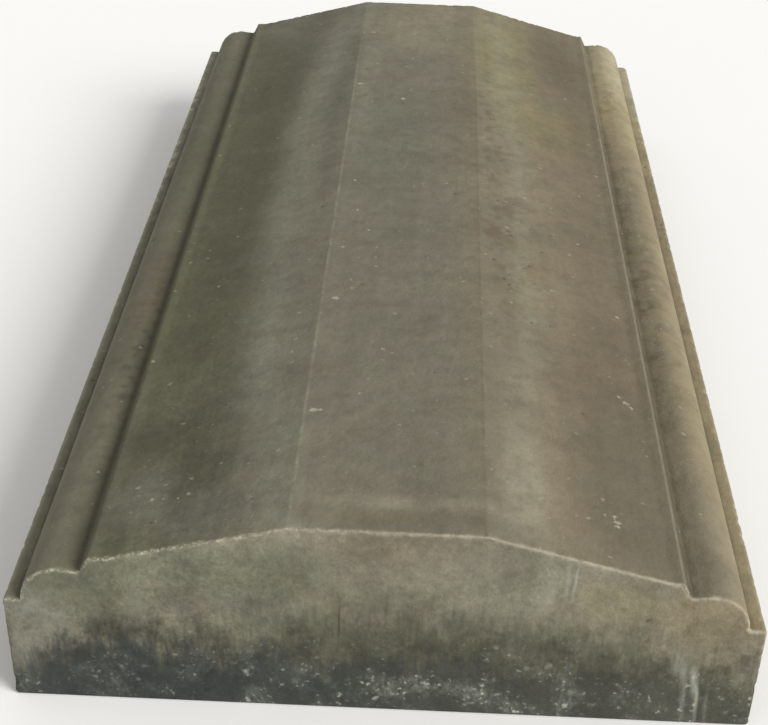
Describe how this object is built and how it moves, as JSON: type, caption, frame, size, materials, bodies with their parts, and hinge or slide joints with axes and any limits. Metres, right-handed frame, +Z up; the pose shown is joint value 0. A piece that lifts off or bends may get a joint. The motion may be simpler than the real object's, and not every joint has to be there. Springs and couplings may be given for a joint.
{
  "type": "concrete wall coping",
  "caption": "Long cast block that caps a wall: flat middle band, two shallow slopes, stepped lips, quarter-round edges and narrow ledges.",
  "frame": {"origin": "middle of the underside, which beds on the wall", "axes": "+Y along the coping's length and the wall's run, +X across the wall, +Z up"},
  "size_m": [0.3, 0.6, 0.092],
  "materials": {
    "concrete": "weathered cast concrete, olive grey, dark damp foot and pale worn edges"
  },
  "bodies": {
    "root": {"wall_coping": "concrete"}
  },
  "joints": []
}
